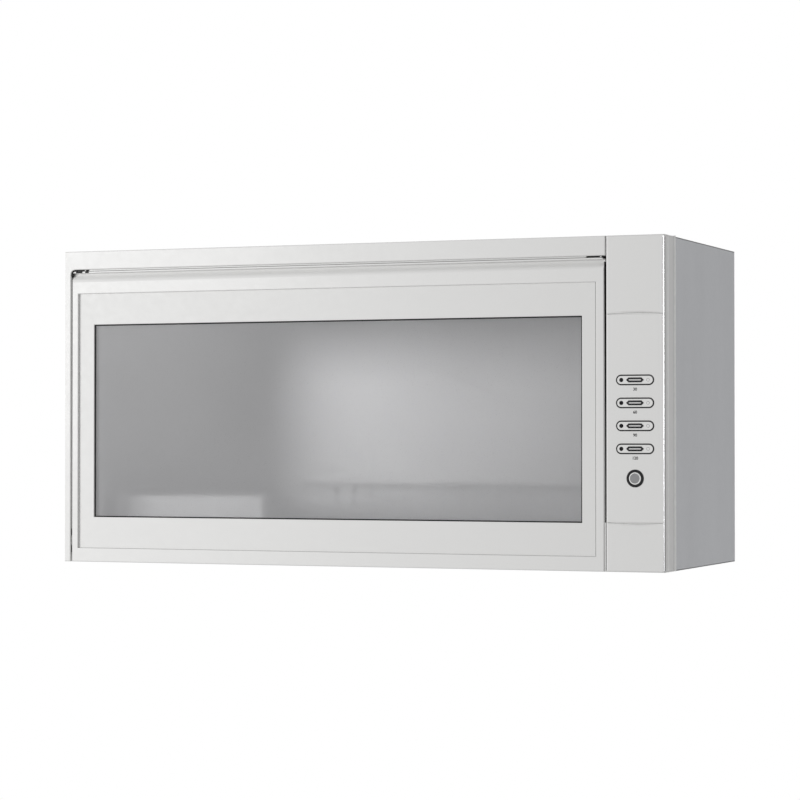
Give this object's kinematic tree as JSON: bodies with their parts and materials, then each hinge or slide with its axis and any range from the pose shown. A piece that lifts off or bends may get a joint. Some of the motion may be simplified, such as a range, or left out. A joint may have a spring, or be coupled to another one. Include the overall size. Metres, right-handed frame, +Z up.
{
  "type": "dish dryer",
  "caption": "Wall-mounted dish dryer cabinet with a drop-down glazed door, wire racks inside, a warm-air blower and a key panel beside the door.",
  "frame": {"origin": "centre of the four wall bolt holes, on the wall face of the back sheet", "axes": "+X to the right seen from the front, +Y back into the wall, +Z up"},
  "size_m": [0.8, 0.3209, 0.4],
  "materials": {
    "silver_plastic": "satin silver paint",
    "bezel_plastic": "satin silver paint",
    "casing_steel": "satin grey coat",
    "chassis_steel": "satin grey coat",
    "zinc_steel": "zinc plated",
    "stainless": "brushed",
    "rack_steel": "bright wire",
    "frosted_glass": "frosted",
    "white_plastic": "plain white",
    "milky_plastic": "translucent white",
    "black_plastic": "plain black",
    "key_plastic": "satin silver paint",
    "lens_plastic": "smoked grey",
    "power_plastic": "satin grey",
    "led_plastic": "dark, clear when lit",
    "rubber": "matt",
    "seal_rubber": "matt grey",
    "board_green": "solder mask",
    "part_dark": "plain",
    "heater_alloy": "bare",
    "tube_glass": "phosphor coated"
  },
  "bodies": {
    "cabinet": {"casing_wrap": "casing_steel", "casing_bottom": "casing_steel", "casing_back": "zinc_steel", "hanger_rails": "zinc_steel", "back_screws": "zinc_steel", "front_chassis": "chassis_steel", "front_frame": "silver_plastic", "control_fascia": "silver_plastic", "door_catches": "black_plastic", "hinge_brackets": "zinc_steel", "hinge_pins": "zinc_steel", "door_seal": "seal_rubber", "liner_floor": "stainless", "liner_ceiling": "stainless", "liner_back": "stainless", "liner_left": "stainless", "liner_right": "stainless", "rack_runners": "stainless", "drip_tray": "stainless", "lamp_housing": "white_plastic", "lamp_tube": "tube_glass", "lamp_cover": "milky_plastic", "blower_scroll": "part_dark", "blower_saddle": "part_dark", "blower_motor": "zinc_steel", "heater_duct": "zinc_steel", "heater_core": "heater_alloy", "thermostat": "part_dark", "control_board": "board_green", "tact_switches": "part_dark", "indicator_leds": "led_plastic", "power_ring": "black_plastic", "power_board": "board_green", "board_standoffs": "white_plastic", "board_components": "part_dark", "cable_grommet": "rubber"},
    "door": {"door_frame": "silver_plastic", "window_bezel": "bezel_plastic", "door_glass": "frosted_glass", "glass_seal": "rubber", "door_back": "white_plastic", "door_screws": "zinc_steel", "hinge_bushes": "black_plastic", "door_stays": "zinc_steel"},
    "lower_rack": {"lower_rack": "rack_steel", "plate_dividers": "rack_steel"},
    "cutlery_box": {"cutlery_box": "white_plastic"},
    "upper_rack": {"upper_rack": "rack_steel"},
    "blower": {"blower_shaft": "zinc_steel", "blower_wheel": "part_dark"},
    "power_button": {"power_button": "power_plastic"},
    "key_1": {"key_1": "key_plastic", "key_1_lens": "lens_plastic"},
    "key_2": {"key_2": "key_plastic", "key_2_lens": "lens_plastic"},
    "key_3": {"key_3": "key_plastic", "key_3_lens": "lens_plastic"},
    "key_4": {"key_4": "key_plastic", "key_4_lens": "lens_plastic"}
  },
  "joints": [
    {"name": "door_hinge", "type": "hinge", "parent": "cabinet", "child": "door", "pos_m": [0, -0.294, -0.1925], "axis": [1, 0, 0], "range_deg": [0, 80]},
    {"name": "lower_rack_slide", "type": "slide", "parent": "cabinet", "child": "lower_rack", "axis": [0, -1, 0], "range_m": [0, 0.081]},
    {"name": "cutlery_box_lift", "type": "slide", "parent": "lower_rack", "child": "cutlery_box", "axis": [0, 0, 1], "range_m": [0, 0.08]},
    {"name": "upper_rack_lift", "type": "slide", "parent": "cabinet", "child": "upper_rack", "axis": [0, 0, 1], "range_m": [0, 0.03]},
    {"name": "blower_spin", "type": "hinge", "parent": "cabinet", "child": "blower", "pos_m": [0, -0.08, -0.105], "axis": [1, 0, 0], "continuous": true},
    {"name": "key_1_press", "type": "slide", "parent": "cabinet", "child": "key_1", "axis": [0, 1, 0], "range_m": [0, 0.0012], "stiffness_N_per_m": 400},
    {"name": "key_2_press", "type": "slide", "parent": "cabinet", "child": "key_2", "axis": [0, 1, 0], "range_m": [0, 0.0012], "stiffness_N_per_m": 400},
    {"name": "key_3_press", "type": "slide", "parent": "cabinet", "child": "key_3", "axis": [0, 1, 0], "range_m": [0, 0.0012], "stiffness_N_per_m": 400},
    {"name": "key_4_press", "type": "slide", "parent": "cabinet", "child": "key_4", "axis": [0, 1, 0], "range_m": [0, 0.0012], "stiffness_N_per_m": 400},
    {"name": "power_button_press", "type": "slide", "parent": "cabinet", "child": "power_button", "axis": [0, 1, 0], "range_m": [0, 0.0016], "stiffness_N_per_m": 400}
  ],
  "couplings": [
    {"joint": "lower_rack_slide", "follows": "door_hinge", "m_per_rad": 0.058}
  ]
}
